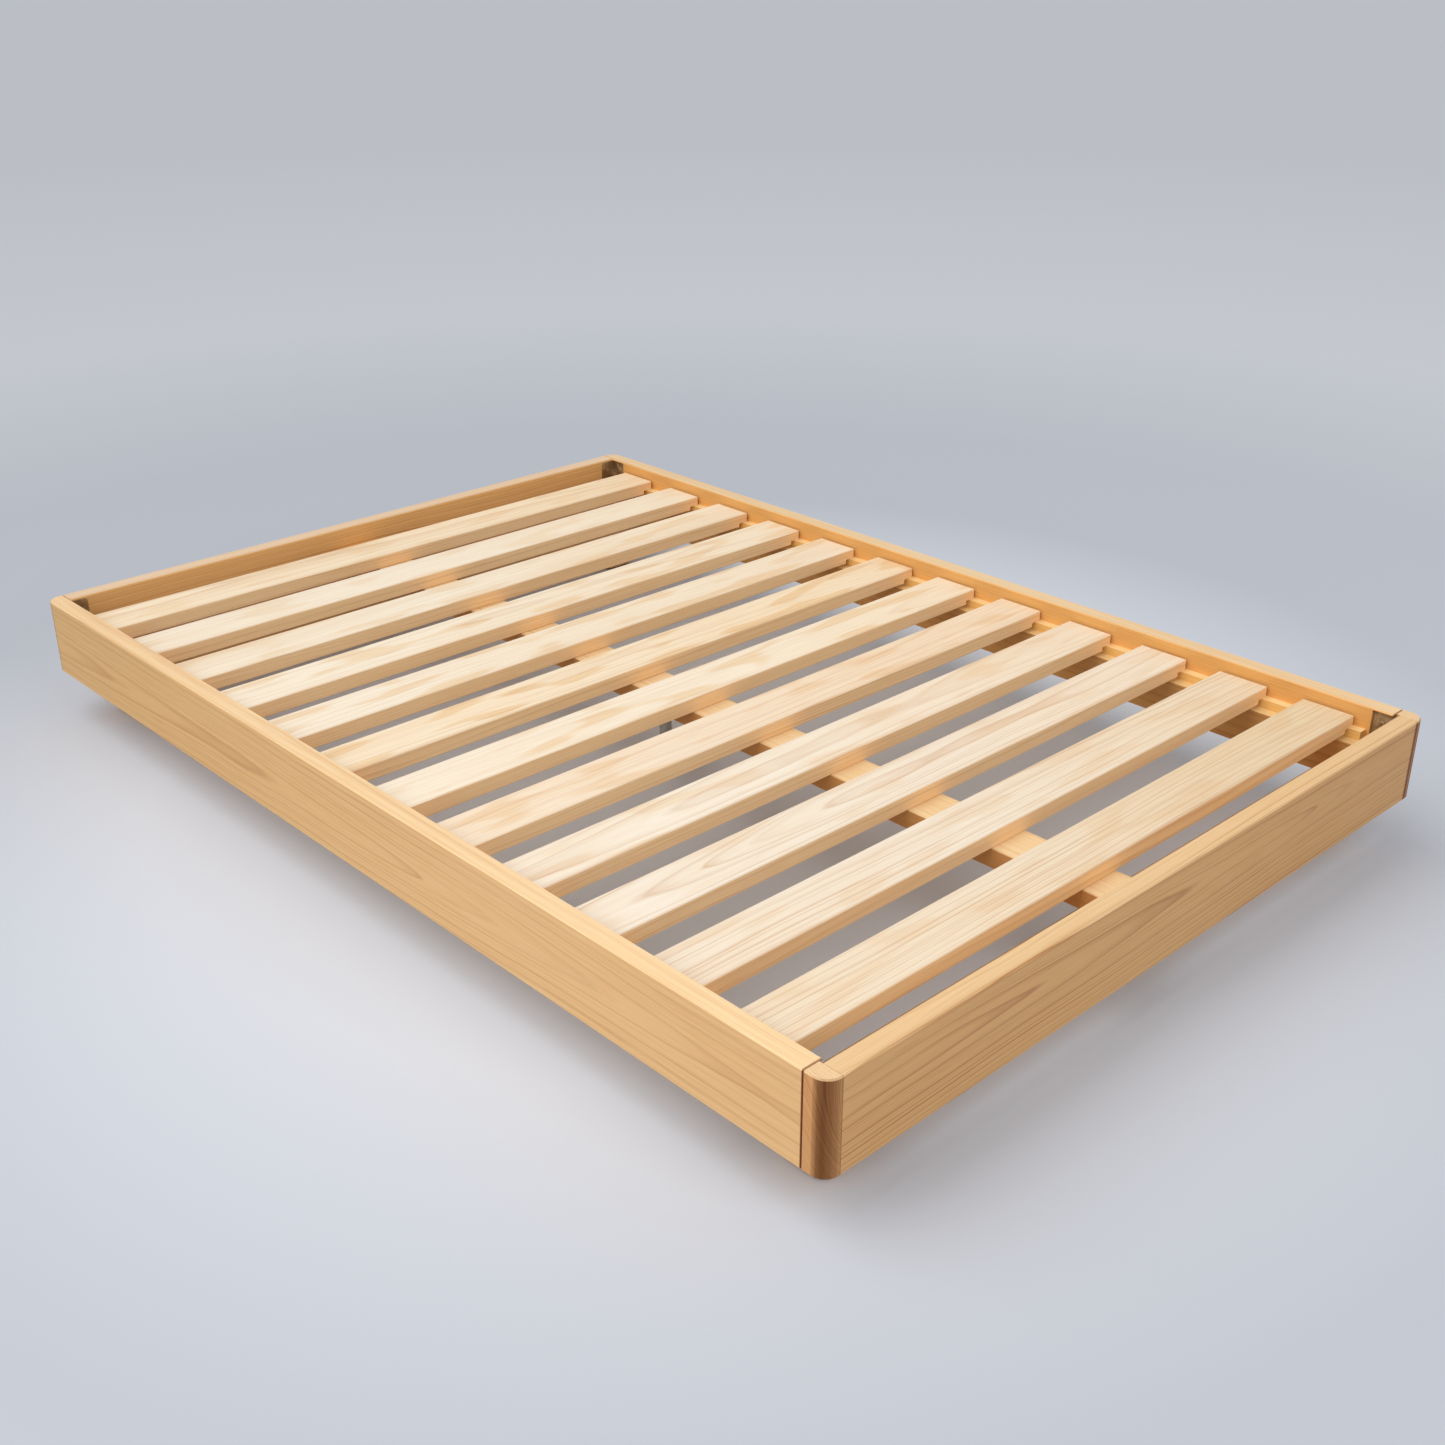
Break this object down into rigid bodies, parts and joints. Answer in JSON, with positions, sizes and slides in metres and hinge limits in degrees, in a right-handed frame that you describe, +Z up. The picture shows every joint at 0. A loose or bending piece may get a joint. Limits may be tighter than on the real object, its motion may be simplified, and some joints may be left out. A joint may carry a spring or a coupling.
{
  "type": "slatted bed frame",
  "caption": "Low rectangular pine bed frame with rounded foot corners, recessed legs, a flat centre beam and loose crosswise slats hooked over ledges inside the side rails.",
  "frame": {"origin": "on the floor, under the middle of the frame's outline", "axes": "+X across the bed to the right seen from the foot, +Y from the foot to the head, +Z up"},
  "size_m": [1.428, 2.08, 0.23],
  "materials": {
    "pine_rail": "clear matt oil",
    "pine_post": "clear matt oil",
    "pine_slat": "planed, untreated",
    "pine_inner": "planed, untreated",
    "pine_support": "planed, untreated",
    "beech_dowel": "plain",
    "bronze_steel": "bronze coat",
    "zinc_steel": "zinc plated",
    "felt_pad": "felt"
  },
  "bodies": {
    "frame": {"bearer_screws": "zinc_steel", "bracket_screws": "zinc_steel", "centre_beam": "pine_inner", "centre_leg": "zinc_steel", "centre_leg_pad": "felt_pad", "cleat_screws": "zinc_steel", "corner_dowels": "beech_dowel", "foot_beam_cleat": "pine_support", "foot_bearer": "pine_support", "foot_left_bracket": "bronze_steel", "foot_left_leg": "pine_support", "foot_left_leg_pad": "felt_pad", "foot_left_post": "pine_post", "foot_rail": "pine_rail", "foot_right_bracket": "bronze_steel", "foot_right_leg": "pine_support", "foot_right_leg_pad": "felt_pad", "foot_right_post": "pine_post", "head_beam_cleat": "pine_support", "head_bearer": "pine_support", "head_left_bracket": "bronze_steel", "head_left_leg": "pine_support", "head_left_leg_pad": "felt_pad", "head_rail": "pine_rail", "head_right_bracket": "bronze_steel", "head_right_leg": "pine_support", "head_right_leg_pad": "felt_pad", "ledger_screws": "zinc_steel", "left_ledger": "pine_inner", "left_side_rail": "pine_rail", "left_slat_strip": "pine_inner", "leg_screws": "zinc_steel", "right_ledger": "pine_inner", "right_side_rail": "pine_rail", "right_slat_strip": "pine_inner"},
    "slat_01": {"slat_01": "pine_slat"},
    "slat_02": {"slat_02": "pine_slat"},
    "slat_03": {"slat_03": "pine_slat"},
    "slat_04": {"slat_04": "pine_slat"},
    "slat_05": {"slat_05": "pine_slat"},
    "slat_06": {"slat_06": "pine_slat"},
    "slat_07": {"slat_07": "pine_slat"},
    "slat_08": {"slat_08": "pine_slat"},
    "slat_09": {"slat_09": "pine_slat"},
    "slat_10": {"slat_10": "pine_slat"},
    "slat_11": {"slat_11": "pine_slat"},
    "slat_12": {"slat_12": "pine_slat"}
  },
  "joints": [
    {"name": "slat_01_lift", "type": "slide", "parent": "frame", "child": "slat_01", "axis": [0, 0, 1], "range_m": [0, 0.1]},
    {"name": "slat_02_lift", "type": "slide", "parent": "frame", "child": "slat_02", "axis": [0, 0, 1], "range_m": [0, 0.1]},
    {"name": "slat_03_lift", "type": "slide", "parent": "frame", "child": "slat_03", "axis": [0, 0, 1], "range_m": [0, 0.1]},
    {"name": "slat_04_lift", "type": "slide", "parent": "frame", "child": "slat_04", "axis": [0, 0, 1], "range_m": [0, 0.1]},
    {"name": "slat_05_lift", "type": "slide", "parent": "frame", "child": "slat_05", "axis": [0, 0, 1], "range_m": [0, 0.1]},
    {"name": "slat_06_lift", "type": "slide", "parent": "frame", "child": "slat_06", "axis": [0, 0, 1], "range_m": [0, 0.1]},
    {"name": "slat_07_lift", "type": "slide", "parent": "frame", "child": "slat_07", "axis": [0, 0, 1], "range_m": [0, 0.1]},
    {"name": "slat_08_lift", "type": "slide", "parent": "frame", "child": "slat_08", "axis": [0, 0, 1], "range_m": [0, 0.1]},
    {"name": "slat_09_lift", "type": "slide", "parent": "frame", "child": "slat_09", "axis": [0, 0, 1], "range_m": [0, 0.1]},
    {"name": "slat_10_lift", "type": "slide", "parent": "frame", "child": "slat_10", "axis": [0, 0, 1], "range_m": [0, 0.1]},
    {"name": "slat_11_lift", "type": "slide", "parent": "frame", "child": "slat_11", "axis": [0, 0, 1], "range_m": [0, 0.1]},
    {"name": "slat_12_lift", "type": "slide", "parent": "frame", "child": "slat_12", "axis": [0, 0, 1], "range_m": [0, 0.1]}
  ]
}
